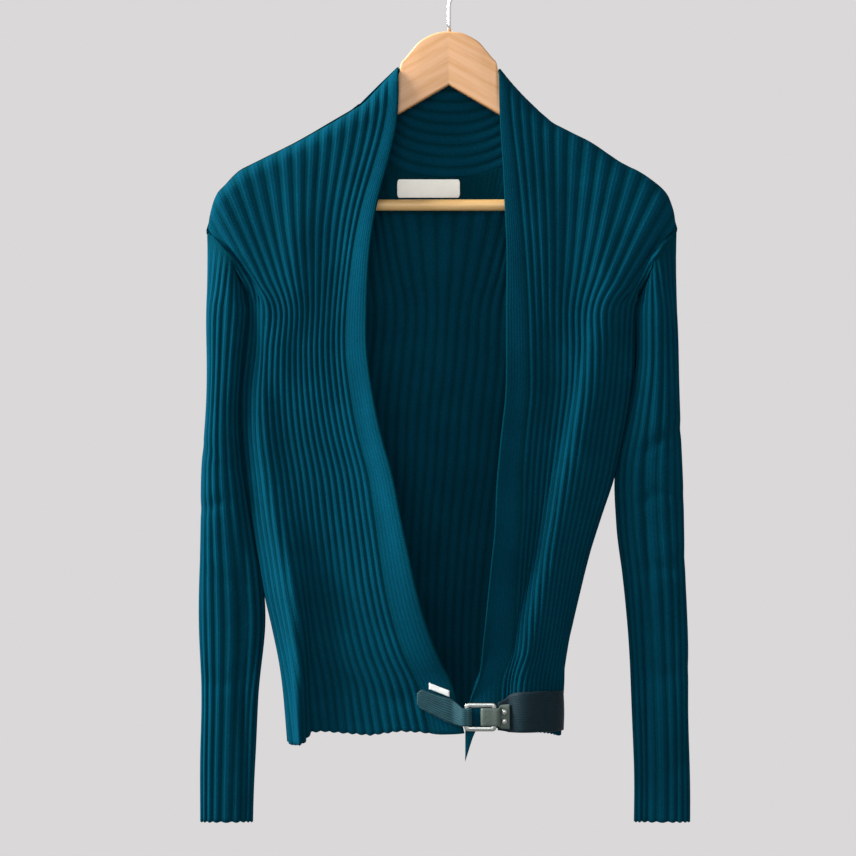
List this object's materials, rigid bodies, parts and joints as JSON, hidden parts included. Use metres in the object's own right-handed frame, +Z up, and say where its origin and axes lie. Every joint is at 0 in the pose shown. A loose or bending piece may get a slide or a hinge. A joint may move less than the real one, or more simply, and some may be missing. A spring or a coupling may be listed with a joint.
{
  "type": "wrap cardigan on a wooden hanger",
  "caption": "Open wrap cardigan in teal rib knit with a shawl collar, long sleeves and a strap-and-ring fastening, hanging on a flat wooden hanger with a bar.",
  "frame": {"origin": "underside of the hanger hook's top, where the hook rests on a rod", "axes": "+Z up, away from the hem; +X to the wearer's left, which is the viewer's right; the open front faces -Y"},
  "size_m": [0.4679, 0.0981, 0.837],
  "materials": {
    "rib_knit": "matt",
    "label": "satin",
    "strap": "matt",
    "tab": "matt",
    "tag": "satin",
    "metal": "polished",
    "wood": "satin lacquer",
    "bar_wood": "satin lacquer",
    "hook_wire": "polished"
  },
  "bodies": {
    "root": {"back": "rib_knit", "right_front": "rib_knit", "left_front": "rib_knit", "collar": "rib_knit", "right_sleeve": "rib_knit", "left_sleeve": "rib_knit", "neck_label": "label", "strap_right": "strap", "strap_left": "strap", "strap_tab": "tab", "strap_tag": "tag", "buckle_ring": "metal", "rivet_upper": "metal", "rivet_lower": "metal", "hanger_body": "wood", "hanger_bar": "bar_wood", "hanger_hook": "hook_wire"}
  },
  "joints": []
}
